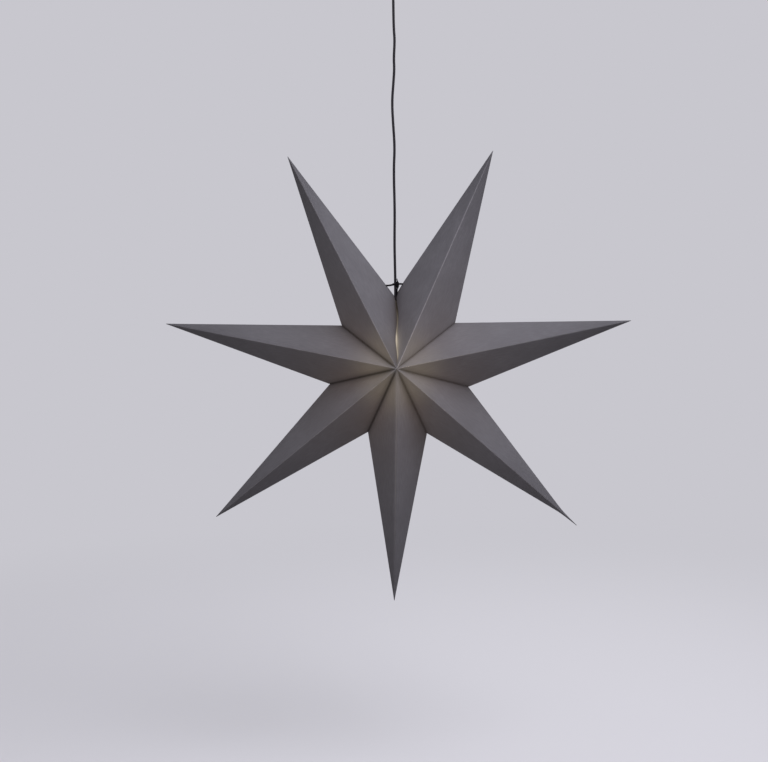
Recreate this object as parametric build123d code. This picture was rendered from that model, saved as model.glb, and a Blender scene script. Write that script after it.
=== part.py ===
from build123d import *
import os
from math import acos, cos, pi, radians, sin, tan

# Paper star lantern on a pendant flex, in millimetres and degrees, +Z up, seen from -Y.
# The origin is the centre of the ceiling plate's upper face. The lantern hangs straight below it.

# Paper star: a hollow shell of folded arms, tips in the plane y = 0
STAR_DROP = 920.0  # ceiling to the star's centre
STAR_ARMS = 7
TIP_RADIUS = 500.0
VALLEY_RADIUS = 150.0
HALF_DEPTH = 120.0  # star's centre to the front or the back peak
PAPER = 0.4
CREASE_GAP = 0.15  # left at each side of a crease
PEAK_TRIM = 1.2  # cut off each panel's corner at the peak
BACK_RELIEF = 2.4  # extra room at the back peak, beside each back ridge
LAYER_PITCH = 0.62  # from one panel to the next when the star is folded flat

# Seam between the two end panels at the top valley, as half widths at radii from the star's centre
SEAM_MOUTH = 5.5
SEAM_MOUTH_RADIUS = 158.0
SEAM_PINCH = 0.6
SEAM_PINCH_RADIUS = 126.0
SEAM_BOW = 3.1
SEAM_BOW_RADIUS = 66.0
SEAM_FOOT = 0.3
SEAM_FOOT_RADIUS = 22.0

# Tie string through the end panels' edges, round the flex
TIE_RADIUS = 180.0  # height above the star's centre
TIE_D = 3.0
TIE_HOLE_D = 5.0
TIE_CLEAR = 0.6
TIE_LIFT = 0.6  # how far the left strand bows up
TIE_STOP_D = 7.0
TIE_STOP_INSET = 6.0
TIE_KNOT_D = 5.0
TIE_KNOT_ANGLE = 32.0  # the knot sits to the right of the flex, turned this far to the front
TIE_TAILS = {1: 11.0, -1: 16.0}  # lengths of the upper and the lower tail
TIE_TAIL_X = -0.06  # lean of the tails, to the left and to the front
TIE_TAIL_Y = -0.12

# Flex
CORD_D = 5.3
CORD_CLEAR = 0.25
CORD_END = 800.0  # depth below the ceiling at which the flex ends, inside the lampholder's grip

# Fits
SEAT_CLEAR = 0.3
FIT_CLEAR = 0.15

# Ceiling plate and hook
PLATE_D = 68.0
PLATE_T = 2.0
PLATE_RIM = 3.0
SCREW_SPACING = 48.0
SCREW_HOLE_D = 5.0
HOOK_WIRE_D = 3.6
HOOK_BOWL_R = 6.0
HOOK_Y = 6.0  # the hook's bowl lies behind the flex
HOOK_SHANK = 24.0
HOOK_TIP = 5.0

# Flex hanger: an eye on the hook with a clamp for the flex
EYE_HOLE_R = 5.0
EYE_R = 9.0
EYE_T = 4.0
HANGER_NECK_W = 10.0
CLAMP_TOP = 60.0  # below the ceiling
CLAMP_H = 20.0
CLAMP_W = 26.0
CLAMP_T = 7.6
CLAMP_SPLIT = 0.4  # half of the gap between the clamp's two halves
CLAMP_CORNER_R = 1.5
BAR_H = 12.0
BAR_T = 5.0
CLAMP_SCREW_D = 3.0
CLAMP_SCREW_HEAD_D = 5.6
CLAMP_SCREW_HEAD = 2.0
CLAMP_SCREW_PITCH = 17.0
CLAMP_SCREW_L = 9.0

# Terminal block under the plate
BLOCK_X = -18.0
BLOCK_L = 20.0
BLOCK_W = 16.0
BLOCK_H = 14.0
BLOCK_CORNER_R = 1.2
BLOCK_POLES = 2
POLE_PITCH = 9.0
POLE_TOWER_D = 6.4
POLE_TOWER = 2.4
POLE_SCREW_D = 3.4
POLE_SCREW_L = 5.4

# Ceiling cup and its collar, which slide down the flex
CUP_TOP_R = 54.0
CUP_FOOT_R = 47.0
CUP_DEPTH = 88.0
CUP_WALL = 1.6
CUP_CEILING_GAP = 0.5
CUP_FILLET = 14.0
CUP_HOLE_R = 6.5
COLLAR_R = 9.0
COLLAR_FOOT_R = 7.0
COLLAR_TAPER = 3.0
COLLAR_SPIGOT_R = 6.3
COLLAR_L = 18.0
COLLAR_SPIGOT = 5.0
GRUB_D = 4.0
GRUB_L = 6.0

# Lampholder, heights from its mouth
HOLDER_MOUTH = 46.0  # mouth above the star's centre
HOLDER_R = 20.0
HOLDER_WALL = 1.8
SKIRT_H = 34.0
SKIRT_LIP_R = 15.4
SKIRT_LIP = 2.0
SPIGOT_H = 5.0
SPIGOT_CLEAR = 0.2
DOME_SHOULDER = 44.0
DOME_TOP = 60.0
BOSS_R = 8.5
BOSS_TOP = 66.0
GRIP_STEM_R = 4.8
GRIP_STEM_TOP = 52.0
GRIP_R = 7.5
GRIP_TOP = 78.0
GRIP_CHAMFER = 1.5
GRIP_SCREW_D = 4.0
GRIP_SCREW_HEAD = 1.0
CORE_Z = 31.0
CORE_H = 9.0
CORE_SLOT_W = 8.0
SOCKET_R = 13.35
SOCKET_WALL = 0.5
SOCKET_Z = 5.0
SOCKET_HOLE_R = 9.0
CONTACT_W = 6.0
CONTACT_T = 0.6
CONTACT_DROP = 2.6
CONTACT_FOOT = 8.0  # length of the riveted half
CONTACT_TONGUE = 7.0
WIRE_SCREW_D = 4.0
WIRE_SCREW_H = 3.0
WIRE_SCREW_X = 11.0

# Bulb, heights from the lampholder's mouth, its travel is down
GLOBE_R = 30.0
GLOBE_CENTRE = -50.0
GLOBE_WALL = 1.0
GLOBE_TANGENT = 38.0  # how far round from its middle the globe stays a sphere
GLOBE_NECK_R = 21.0
GLOBE_NECK_Z = -27.0
BODY_R = 22.0
BODY_BAND = 3.0
BODY_WAIST_R = 17.0
BODY_WAIST_Z = -10.0
BODY_TOP_R = 13.6
BODY_TOP = 2.0
CAP_R = 13.0
CAP_TOP = 22.0
CAP_SHOULDER_R = 9.0
CAP_SHOULDER = 2.0
INSULATOR_FOOT_R = 8.0
INSULATOR_R = 5.5
INSULATOR_H = 2.0
TIP_R = 4.5
TIP_H = 1.4

# Route of the flex: from the terminal block, an S-bend to the hanger, then down with its slight waves
CORD_ROUTE = [
    (BLOCK_X, 0, -(PLATE_T + BLOCK_H)),
    (BLOCK_X, 0, -37.0),
    (0, 0, -47.5),
    (0, 0, -214.0),
    (2.6, 0, -243.0),
    (0.1, 0.3, -280.0),
    (1.2, 0.5, -300.0),
    (-0.6, 0.8, -326.0),
    (-4.2, 1.0, -368.0),
    (-2.2, 0.6, -412.0),
    (1.0, 0, -462.0),
    (-1.7, -0.5, -508.0),
    (0.1, -0.4, -590.0),
    (-1.1, 0, -655.0),
    (-0.5, 0, -704.0),
    (0, 0, -728.0),
    (0, 0, -CORD_END),
]
RUN_SHARE = 0.45  # each arc's share of the shorter of its two runs

STAR = Vector(0, 0, -STAR_DROP)
CORD_R = CORD_D / 2
CORD_BORE_R = CORD_R + CORD_CLEAR
HALF_PITCH = 180.0 / STAR_ARMS
HOLDER_Z = -STAR_DROP + HOLDER_MOUTH
SPIGOT_INNER_R = HOLDER_R - HOLDER_WALL - SPIGOT_CLEAR - HOLDER_WALL / 2
FRONT, BACK = -1, 1
LEFT, RIGHT = -1, 1
ARM_NAMES = {0: "bottom", 1: "lower_right", 2: "right", 3: "top_right",
             -1: "lower_left", -2: "left", -3: "top_left"}
FACE_NAMES = {FRONT: "front", BACK: "back"}
LAST_ARM = STAR_ARMS // 2


def save(shape, name):
    export_step(shape, f"parts/{name}.step")


def turned(points, z_shift):
    """Solid of revolution about Z of a closed outline of (radius, height) points."""
    outline = Polyline([(r, 0, z) for r, z in points], close=True)
    return Pos(0, 0, z_shift) * revolve(make_face(outline), Axis.Z)


def rod(x, y, z, radius, length, direction=(0, 0, 1)):
    """Cylinder from a point along a direction."""
    return extrude(Plane(origin=(x, y, z), z_dir=direction) * Circle(radius), amount=length)


# The star's geometry
def on_ring(radius, angle):
    """Point of the star's middle plane, its angle counted from straight down towards +X."""
    return STAR + Vector(radius * sin(radians(angle)), 0, -radius * cos(radians(angle)))


def peak(face):
    return STAR + Vector(0, face * HALF_DEPTH, 0)


def tip(arm):
    return on_ring(TIP_RADIUS, 2 * HALF_PITCH * arm)


def valley(arm, side):
    return on_ring(VALLEY_RADIUS, HALF_PITCH * (2 * arm + side))


def across(vector, direction):
    """The part of a vector that is square to a direction, as a unit vector."""
    return (vector - direction * vector.dot(direction)).normalized()


def half_fold(start, end, panel_point, inward):
    """Angle at a crease between a panel and the crease's mirror plane, on the star's inside."""
    line = (end - start).normalized()
    return acos(across(panel_point - start, line).dot(across(inward, line)))


INWARD = peak(BACK) - peak(FRONT)
RIDGE_HALF = half_fold(peak(FRONT), tip(0), valley(0, RIGHT), INWARD)
VALLEY_HALF = half_fold(peak(FRONT), valley(0, RIGHT), tip(0), INWARD)
EDGE_HALF = half_fold(tip(0), valley(0, RIGHT), peak(FRONT), STAR - tip(0))


# The creases' turning axes
def crease_axis(start, end, toward, shift):
    """Axis along a fold line, moved off it so that the folded layers lie side by side."""
    line = (end - start).normalized()
    return Axis(start + across(toward, line) * shift, line)


def ridge_axis(arm):
    return crease_axis(peak(FRONT), tip(arm), INWARD, LAYER_PITCH / (2 * sin(RIDGE_HALF)))


def valley_axis(arm, side):
    return crease_axis(peak(FRONT), valley(arm, side), -INWARD, LAYER_PITCH / (2 * sin(VALLEY_HALF)))


def edge_axis(arm, side):
    return crease_axis(tip(arm), valley(arm, side), tip(arm) - STAR, PAPER / (2 * sin(EDGE_HALF)))


# Paper panels
def inset_line(start, end, inset, end_inset, inner):
    """Line moved towards an inner point, as a start and an end in the panel's plane."""
    run = (end - start).normalized()
    normal = Vector(-run.Y, run.X)
    if normal.dot(inner - start) < 0:
        normal = -normal
    return start + normal * inset, end + normal * end_inset


def meeting(first, second):
    """Point where two lines of the panel's plane cross."""
    a, b = first
    c, d = second
    u, v, w = b - a, d - c, c - a
    return a + u * ((w.X * v.Y - w.Y * v.X) / (u.X * v.Y - u.Y * v.X))


def panel_outline(corners, level, relief):
    """Outline of a panel at a level of its thickness, outward positive, mitred at each crease."""
    at_p, at_t, at_v = corners
    ridge_inset = CREASE_GAP - level / tan(RIDGE_HALF)
    valley_inset = CREASE_GAP - level / tan(VALLEY_HALF)
    edge_inset = CREASE_GAP - level / tan(EDGE_HALF)
    middle = (at_p + at_t + at_v) / 3
    ridge = inset_line(at_p, at_t, ridge_inset + relief, ridge_inset, middle)
    fold = inset_line(at_p, at_v, valley_inset, valley_inset, middle)
    edge = inset_line(at_t, at_v, edge_inset, edge_inset, middle)
    peak_corner, tip_corner, valley_corner = meeting(ridge, fold), meeting(ridge, edge), meeting(fold, edge)
    ridge_start = peak_corner + (tip_corner - peak_corner).normalized() * PEAK_TRIM
    fold_start = peak_corner + (valley_corner - peak_corner).normalized() * PEAK_TRIM
    return [ridge_start, tip_corner, valley_corner, fold_start]


def paper_panel(arm, side, face):
    """One of an arm's four flat paper panels."""
    p, t, v = peak(face), tip(arm), valley(arm, side)
    x_dir = (t - p).normalized()
    y_dir = across(v - p, x_dir)
    normal = x_dir.cross(y_dir)
    outward = 1 if normal.dot(p + t + v - STAR * 3) > 0 else -1
    plane = Plane(origin=p, x_dir=x_dir, z_dir=normal)
    corners = [Vector((q - p).dot(x_dir), (q - p).dot(y_dir)) for q in (p, t, v)]
    relief = BACK_RELIEF if face == BACK else 0
    wires = []
    for level in (PAPER / 2, -PAPER / 2):
        outline = panel_outline(corners, level, relief)
        points = [plane.from_local_coords((q.X, q.Y, outward * level)) for q in outline]
        wires.append(Wire.make_polygon(points))
    return Solid.make_loft(wires, ruled=True)


def seam_cutter():
    """The opening along the seam: a mouth for the flex, a pinch, and a bowed slot of light."""
    def edge(side):
        mouth = (side * SEAM_MOUTH, SEAM_MOUTH_RADIUS)
        pinch = (side * SEAM_PINCH, SEAM_PINCH_RADIUS)
        bow = (side * SEAM_BOW, SEAM_BOW_RADIUS)
        foot = (side * SEAM_FOOT, SEAM_FOOT_RADIUS)
        return [Line(mouth, pinch), ThreePointArc(pinch, bow, foot)]

    closing = [
        Line((-SEAM_FOOT, SEAM_FOOT_RADIUS), (SEAM_FOOT, SEAM_FOOT_RADIUS)),
        Line((-SEAM_MOUTH, SEAM_MOUTH_RADIUS), (SEAM_MOUTH, SEAM_MOUTH_RADIUS)),
    ]
    outline = make_face(edge(LEFT) + edge(RIGHT) + closing)
    profile = Plane(origin=STAR, x_dir=(1, 0, 0), z_dir=(0, -1, 0)) * outline
    return extrude(profile, amount=HALF_DEPTH, both=True)


def panel_name(arm, side, face):
    """Node of a panel: its side is lower or upper along the arms, and left or right on the bottom arm."""
    if arm == 0:
        place = "right" if side == RIGHT else "left"
    else:
        place = "upper" if side * arm > 0 else "lower"
    return f"{ARM_NAMES[arm]}_arm_{FACE_NAMES[face]}_{place}"


def build_star():
    seam = seam_cutter()
    tie_hole = rod(-TIP_RADIUS / 2, 0, -STAR_DROP + TIE_RADIUS, TIE_HOLE_D / 2, TIP_RADIUS, (1, 0, 0))
    for arm in ARM_NAMES:
        for side in (LEFT, RIGHT):
            for face in (FRONT, BACK):
                panel = paper_panel(arm, side, face)
                if arm * side == LAST_ARM:
                    panel = panel - seam - tie_hole
                save(panel, panel_name(arm, side, face))


# Tie string and flex
def rounded_route(points):
    """Straight runs joined by the largest tangent arcs that the runs allow, and the arcs' radii."""
    route = [Vector(*p) for p in points]
    radii = []
    for before, corner, after in zip(route, route[1:], route[2:]):
        turn = radians((corner - before).get_angle(after - corner))
        run = min((corner - before).length, (after - corner).length)
        radii.append(RUN_SHARE * run / tan(turn / 2))
    return FilletPolyline(route, radius=radii), radii


def tube(points, radius):
    """Round tube along a rounded route."""
    path = rounded_route(points)[0]
    return sweep(Plane(origin=path @ 0, z_dir=path % 0) * Circle(radius), path=path)


def top_opening_x(height):
    """Half width of the opening between the two top arms at a height above the star's centre."""
    inner, outer = valley(LAST_ARM, RIGHT), tip(LAST_ARM)
    share = (height - (inner.Z + STAR_DROP)) / (outer.Z - inner.Z)
    return inner.X + share * (outer.X - inner.X)


def build_tie():
    """Two stop knots inside the end arms, a strand past the flex, a ring round it, a knot and its tails."""
    z = -STAR_DROP + TIE_RADIUS
    stop_x = top_opening_x(TIE_RADIUS) + TIE_STOP_INSET
    ring_r = CORD_R + TIE_CLEAR + TIE_D / 2
    knot_r = CORD_R + TIE_CLEAR + TIE_KNOT_D / 2
    knot_x, knot_y = knot_r * cos(radians(TIE_KNOT_ANGLE)), -knot_r * sin(radians(TIE_KNOT_ANGLE))
    bow_z = z + TIE_LIFT
    strand = tube([(-stop_x, 0, z), (-stop_x / 2, -ring_r / 2, bow_z), (-ring_r / 2, -ring_r, bow_z),
                   (ring_r / 2, -ring_r, z), (knot_x, knot_y, z), (stop_x, 0, z)], TIE_D / 2)
    tie = strand + Pos(0, 0, z) * Torus(ring_r, TIE_D / 2) + Pos(knot_x, knot_y, z) * Sphere(TIE_KNOT_D / 2)
    for up, length in TIE_TAILS.items():
        tie += rod(knot_x, knot_y, z, TIE_D / 2, length, (TIE_TAIL_X, TIE_TAIL_Y, up))
    for side in (LEFT, RIGHT):
        tie += Pos(side * stop_x, 0, z) * Sphere(TIE_STOP_D / 2)
    save(tie, "tie_string")


def build_cord():
    path, radii = rounded_route(CORD_ROUTE)
    cord = tube(CORD_ROUTE, CORD_R)
    print("cord length %.1f mm, radii %s" % (path.length, [round(r) for r in radii]))
    print("cord volume %.0f, section times length %.0f" % (cord.volume, pi * CORD_R**2 * path.length))
    save(cord, "cord")


# Ceiling fitting
def build_plate_and_hook():
    """Plate against the ceiling, and the open hook below it; returns the height of the eye on the hook."""
    rim_r, rim_z = PLATE_D / 2 - PLATE_T, -PLATE_T - PLATE_RIM
    plate = turned([(0, 0), (PLATE_D / 2, 0), (PLATE_D / 2, rim_z), (rim_r, rim_z), (rim_r, -PLATE_T),
                    (0, -PLATE_T)], 0)
    for side in (-1, 1):
        plate -= rod(0, side * SCREW_SPACING / 2, -PLATE_T, SCREW_HOLE_D / 2, PLATE_T)
    save(plate, "ceiling_plate")

    shank_y, tip_y = HOOK_Y + HOOK_BOWL_R, HOOK_Y - HOOK_BOWL_R
    root, shank_end, tip_start = (0, shank_y, -PLATE_T), (0, shank_y, -HOOK_SHANK), (0, tip_y, -HOOK_SHANK)
    bowl = (0, HOOK_Y, -HOOK_SHANK - HOOK_BOWL_R)
    path = Wire([
        Edge.make_line(root, shank_end),
        Edge.make_three_point_arc(shank_end, bowl, tip_start),
        Edge.make_line(tip_start, (0, tip_y, -HOOK_SHANK + HOOK_TIP)),
    ])
    save(sweep(Plane(origin=root, z_dir=(0, 0, -1)) * Circle(HOOK_WIRE_D / 2), path=path), "ceiling_hook")

    bowl_inner = HOOK_BOWL_R - HOOK_WIRE_D / 2
    seat_z = -HOOK_SHANK - (bowl_inner**2 - (EYE_T / 2)**2)**0.5
    return seat_z + SEAT_CLEAR - EYE_HOLE_R


def build_hanger(eye_z):
    """Eye and clamp block in one, the clamp bar in front of the flex, and its two screws."""
    eye = rod(0, HOOK_Y - EYE_T / 2, eye_z, EYE_R, EYE_T, (0, 1, 0))
    eye_hole = rod(0, HOOK_Y - EYE_T, eye_z, EYE_HOLE_R, 2 * EYE_T, (0, 1, 0))
    neck = Pos(0, HOOK_Y, (eye_z - CLAMP_TOP) / 2) * Box(HANGER_NECK_W, EYE_T, eye_z + CLAMP_TOP)
    middle_z = -CLAMP_TOP - CLAMP_H / 2
    clamp = Pos(0, CLAMP_SPLIT + CLAMP_T / 2, middle_z) * Box(CLAMP_W, CLAMP_T, CLAMP_H)
    clamp = fillet(clamp.edges().filter_by(Axis.Y), CLAMP_CORNER_R)
    groove = rod(0, 0, -CLAMP_TOP - CLAMP_H, CORD_BORE_R, CLAMP_H)
    hanger = eye + neck + clamp - eye_hole - groove
    bar = Pos(0, -CLAMP_SPLIT - BAR_T / 2, middle_z) * Box(CLAMP_W, BAR_T, BAR_H)
    bar = fillet(bar.edges().filter_by(Axis.Y), CLAMP_CORNER_R) - groove
    bar_face = -CLAMP_SPLIT - BAR_T
    head_y = bar_face - CLAMP_SCREW_HEAD
    screws = []
    for side in (LEFT, RIGHT):
        x = side * CLAMP_SCREW_PITCH / 2
        hole_length = CLAMP_SPLIT + CLAMP_T - head_y
        hole = rod(x, head_y, middle_z, CLAMP_SCREW_D / 2 + FIT_CLEAR, hole_length, (0, 1, 0))
        hanger -= hole
        bar -= hole
        head = rod(x, head_y, middle_z, CLAMP_SCREW_HEAD_D / 2, CLAMP_SCREW_HEAD, (0, 1, 0))
        screws.append(head + rod(x, bar_face, middle_z, CLAMP_SCREW_D / 2, CLAMP_SCREW_L, (0, 1, 0)))
    save(hanger, "cord_hanger")
    save(bar, "hanger_clamp_bar")
    save(Compound(screws), "hanger_clamp_screws")


def build_terminal_block():
    middle_z = -PLATE_T - BLOCK_H / 2
    block = Pos(BLOCK_X, 0, middle_z) * Box(BLOCK_W, BLOCK_L, BLOCK_H)
    block = fillet(block.edges().filter_by(Axis.Z), BLOCK_CORNER_R)
    tower_x = BLOCK_X - BLOCK_W / 2 - POLE_TOWER
    screws = []
    for pole in range(BLOCK_POLES):
        y = (pole - (BLOCK_POLES - 1) / 2) * POLE_PITCH
        block += rod(tower_x, y, middle_z, POLE_TOWER_D / 2, POLE_TOWER + BLOCK_W / 2, (1, 0, 0))
        block -= rod(tower_x, y, middle_z, POLE_SCREW_D / 2 + FIT_CLEAR, BLOCK_W / 2, (1, 0, 0))
        screws.append(rod(tower_x + POLE_TOWER / 2, y, middle_z, POLE_SCREW_D / 2, POLE_SCREW_L, (1, 0, 0)))
    save(block, "terminal_block")
    save(Compound(screws), "terminal_block_screws")


def build_ceiling_cup():
    """Cup, its collar and grub screw."""
    top, bottom = -CUP_CEILING_GAP, -CUP_DEPTH
    outer = turned([(0, top), (CUP_TOP_R, top), (CUP_FOOT_R, bottom), (0, bottom)], 0)
    outer = fillet(outer.edges().sort_by(Axis.Z)[0], CUP_FILLET)
    cup = offset(outer, amount=-CUP_WALL, openings=outer.faces().sort_by(Axis.Z)[-1])
    cup -= rod(0, 0, bottom - CUP_WALL, CUP_HOLE_R, 3 * CUP_WALL)
    save(cup, "ceiling_cup")

    collar = turned([(CORD_BORE_R, COLLAR_SPIGOT), (COLLAR_SPIGOT_R, COLLAR_SPIGOT), (COLLAR_SPIGOT_R, 0),
                     (COLLAR_R, 0), (COLLAR_R, -COLLAR_L + COLLAR_TAPER), (COLLAR_FOOT_R, -COLLAR_L),
                     (CORD_BORE_R, -COLLAR_L)], bottom)
    grub_z = bottom - COLLAR_L / 2
    collar -= rod(0, -COLLAR_R, grub_z, GRUB_D / 2 + FIT_CLEAR, COLLAR_R, (0, 1, 0))
    save(collar, "cup_collar")
    save(rod(0, -COLLAR_R, grub_z, GRUB_D / 2, GRUB_L, (0, 1, 0)), "cup_grub_screw")


# Lampholder and bulb
def build_lampholder_body():
    """Skirt, dome and the flex grip on top."""
    inner = HOLDER_R - HOLDER_WALL
    spigot = inner - SPIGOT_CLEAR
    skirt = turned([(SKIRT_LIP_R, 0), (HOLDER_R - SKIRT_LIP / 2, 0), (HOLDER_R, SKIRT_LIP / 2),
                    (HOLDER_R, SKIRT_H), (spigot, SKIRT_H), (spigot, SKIRT_H + SPIGOT_H),
                    (SPIGOT_INNER_R, SKIRT_H + SPIGOT_H), (SPIGOT_INNER_R, SKIRT_LIP),
                    (SKIRT_LIP_R, SKIRT_LIP)], HOLDER_Z)
    save(skirt, "lampholder_skirt")

    neck_r = GRIP_STEM_R + FIT_CLEAR
    ceiling = DOME_TOP - HOLDER_WALL
    profile = [
        Line((inner, SKIRT_H), (HOLDER_R, SKIRT_H)),
        Line((HOLDER_R, SKIRT_H), (HOLDER_R, DOME_SHOULDER)),
        EllipticalCenterArc((BOSS_R, DOME_SHOULDER), HOLDER_R - BOSS_R, DOME_TOP - DOME_SHOULDER),
        Line((BOSS_R, DOME_TOP), (BOSS_R, BOSS_TOP)),
        Line((BOSS_R, BOSS_TOP), (neck_r, BOSS_TOP)),
        Line((neck_r, BOSS_TOP), (neck_r, ceiling)),
        Line((neck_r, ceiling), (BOSS_R, ceiling)),
        EllipticalCenterArc((BOSS_R, DOME_SHOULDER), inner - BOSS_R, ceiling - DOME_SHOULDER),
        Line((inner, DOME_SHOULDER), (inner, SKIRT_H)),
    ]
    save(Pos(0, 0, HOLDER_Z) * revolve(Plane.XZ * make_face(profile), Axis.Z), "lampholder_dome")

    grip = turned([(CORD_BORE_R, GRIP_STEM_TOP), (GRIP_STEM_R, GRIP_STEM_TOP), (GRIP_STEM_R, BOSS_TOP),
                   (GRIP_R, BOSS_TOP), (GRIP_R, GRIP_TOP - GRIP_CHAMFER), (GRIP_R - GRIP_CHAMFER, GRIP_TOP),
                   (CORD_BORE_R, GRIP_TOP)], HOLDER_Z)
    screw_z = HOLDER_Z + (BOSS_TOP + GRIP_TOP) / 2
    grip -= rod(0, -GRIP_R, screw_z, GRIP_SCREW_D / 2 + FIT_CLEAR, GRIP_R, (0, 1, 0))
    save(grip, "cord_grip")
    screw = rod(0, -GRIP_R - GRIP_SCREW_HEAD, screw_z, GRIP_SCREW_D / 2, GRIP_R - CORD_BORE_R, (0, 1, 0))
    save(screw, "cord_grip_screw")


def build_lampholder_inside():
    """Ceramic core seated in the skirt's spigot, its screws, the screw socket and the contact tongue."""
    core_z = HOLDER_Z + CORE_Z
    core_r = SPIGOT_INNER_R - SEAT_CLEAR
    core = rod(0, 0, core_z, core_r, CORE_H)
    core -= Pos(0, 0, core_z + CORE_H) * Box(2 * core_r, CORE_SLOT_W, CORE_H)
    screws = []
    screw_z = core_z + CORE_H - WIRE_SCREW_H
    for side in (LEFT, RIGHT):
        y = side * WIRE_SCREW_X
        core -= rod(0, y, core_z, WIRE_SCREW_D / 2 + FIT_CLEAR, CORE_H)
        screws.append(rod(0, y, screw_z, WIRE_SCREW_D / 2, WIRE_SCREW_H))
    save(core, "lampholder_core")
    save(Compound(screws), "wire_screws")

    wall_r = SOCKET_R + SOCKET_WALL
    floor = CORE_Z - SOCKET_WALL
    socket = turned([(SOCKET_R, SOCKET_Z), (wall_r, SOCKET_Z), (wall_r, CORE_Z), (SOCKET_HOLE_R, CORE_Z),
                     (SOCKET_HOLE_R, floor), (SOCKET_R, floor)], HOLDER_Z)
    save(socket, "screw_socket")

    low = core_z - CONTACT_DROP
    tongue = [(-CONTACT_FOOT, core_z), (0, core_z), (CONTACT_TONGUE, low),
              (CONTACT_TONGUE - CONTACT_T, low - CONTACT_T), (-CONTACT_T, core_z - CONTACT_T),
              (-CONTACT_FOOT, core_z - CONTACT_T)]
    outline = make_face(Polyline([(x, 0, z) for x, z in tongue], close=True))
    save(extrude(outline, amount=CONTACT_W / 2, both=True), "centre_contact")


def globe_outline(radius, neck_r):
    """Half section of the globe: a sphere with a neck that flows into the body."""
    def on_globe(angle):
        return radius * cos(radians(angle)), GLOBE_CENTRE + radius * sin(radians(angle))

    foot, side, neck = (0, GLOBE_CENTRE - radius), on_globe(GLOBE_TANGENT), (neck_r, GLOBE_NECK_Z)
    return [ThreePointArc(foot, on_globe((GLOBE_TANGENT - 90) / 2), side), Line(side, neck)], neck, foot


def build_bulb():
    outside, neck, foot = globe_outline(GLOBE_R, GLOBE_NECK_R)
    inside, neck_in, foot_in = globe_outline(GLOBE_R - GLOBE_WALL, GLOBE_NECK_R - GLOBE_WALL)
    profile = outside + [Line(neck, neck_in)] + inside + [Line(foot_in, foot)]
    save(Pos(0, 0, HOLDER_Z) * revolve(Plane.XZ * make_face(profile), Axis.Z), "bulb_globe")

    band_top = GLOBE_NECK_Z + BODY_BAND
    body_profile = [
        Line((0, GLOBE_NECK_Z), (BODY_R, GLOBE_NECK_Z)),
        Line((BODY_R, GLOBE_NECK_Z), (BODY_R, band_top)),
        ThreePointArc((BODY_R, band_top), (BODY_WAIST_R, BODY_WAIST_Z), (BODY_TOP_R, BODY_TOP)),
        Line((BODY_TOP_R, BODY_TOP), (0, BODY_TOP)),
        Line((0, BODY_TOP), (0, GLOBE_NECK_Z)),
    ]
    save(Pos(0, 0, HOLDER_Z) * revolve(Plane.XZ * make_face(body_profile), Axis.Z), "bulb_body")

    shoulder = CAP_TOP + CAP_SHOULDER
    insulator_top = shoulder + INSULATOR_H
    tip_top = insulator_top + TIP_H
    cap = [(0, BODY_TOP), (CAP_R, BODY_TOP), (CAP_R, CAP_TOP), (CAP_SHOULDER_R, shoulder), (0, shoulder)]
    save(turned(cap, HOLDER_Z), "bulb_screw_cap")
    insulator = [(0, shoulder), (INSULATOR_FOOT_R, shoulder), (INSULATOR_R, insulator_top), (0, insulator_top)]
    save(turned(insulator, HOLDER_Z), "bulb_insulator")
    contact = [(0, insulator_top), (TIP_R, insulator_top), (TIP_R / 2, tip_top), (0, tip_top)]
    save(turned(contact, HOLDER_Z), "bulb_contact")


os.makedirs("parts", exist_ok=True)
build_star()
build_tie()
build_cord()
build_hanger(build_plate_and_hook())
build_terminal_block()
build_ceiling_cup()
build_lampholder_body()
build_lampholder_inside()
build_bulb()
print("ridge axis of the bottom arm", ridge_axis(0))
print("valley axis right of it", valley_axis(0, RIGHT))
print("edge axis right of it", edge_axis(0, RIGHT))
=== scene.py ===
from collections import namedtuple
from math import acos, cos, exp, pi, radians, sin, tan

import bpy
import numpy as np
from mathutils import Matrix, Vector, noise


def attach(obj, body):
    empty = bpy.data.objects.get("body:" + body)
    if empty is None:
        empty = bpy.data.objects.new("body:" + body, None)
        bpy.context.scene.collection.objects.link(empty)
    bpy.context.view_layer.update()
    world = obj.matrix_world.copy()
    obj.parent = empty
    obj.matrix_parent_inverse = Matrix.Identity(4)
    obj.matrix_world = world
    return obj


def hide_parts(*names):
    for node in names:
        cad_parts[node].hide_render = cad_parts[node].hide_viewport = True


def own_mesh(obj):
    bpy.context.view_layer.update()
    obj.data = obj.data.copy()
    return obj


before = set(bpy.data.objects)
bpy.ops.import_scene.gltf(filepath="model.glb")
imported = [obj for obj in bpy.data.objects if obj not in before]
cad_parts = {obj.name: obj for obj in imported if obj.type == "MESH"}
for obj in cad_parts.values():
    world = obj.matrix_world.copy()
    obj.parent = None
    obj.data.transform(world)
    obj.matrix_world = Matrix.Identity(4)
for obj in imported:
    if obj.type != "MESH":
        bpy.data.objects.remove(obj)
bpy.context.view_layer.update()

# Sizes in metres, as in the CAD source
MM = 0.001
STAR = Vector((0, 0, -0.92))
ARMS = 7
HALF_PITCH = pi / ARMS
TIP_RADIUS = 0.5
VALLEY_RADIUS = 0.15
HALF_DEPTH = 0.12
PAPER = 0.0004
HALF_PAPER = PAPER / MM / 2  # in millimetres
FRONT, BACK = -1, 1
LEFT, RIGHT = -1, 1
ARM_NAMES = {0: "bottom", 1: "lower_right", 2: "right", 3: "top_right",
             -1: "lower_left", -2: "left", -3: "top_left"}
FACE_NAMES = {FRONT: "front", BACK: "back"}
LAST_ARM = ARMS // 2
CORD_D = 0.0053
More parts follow.
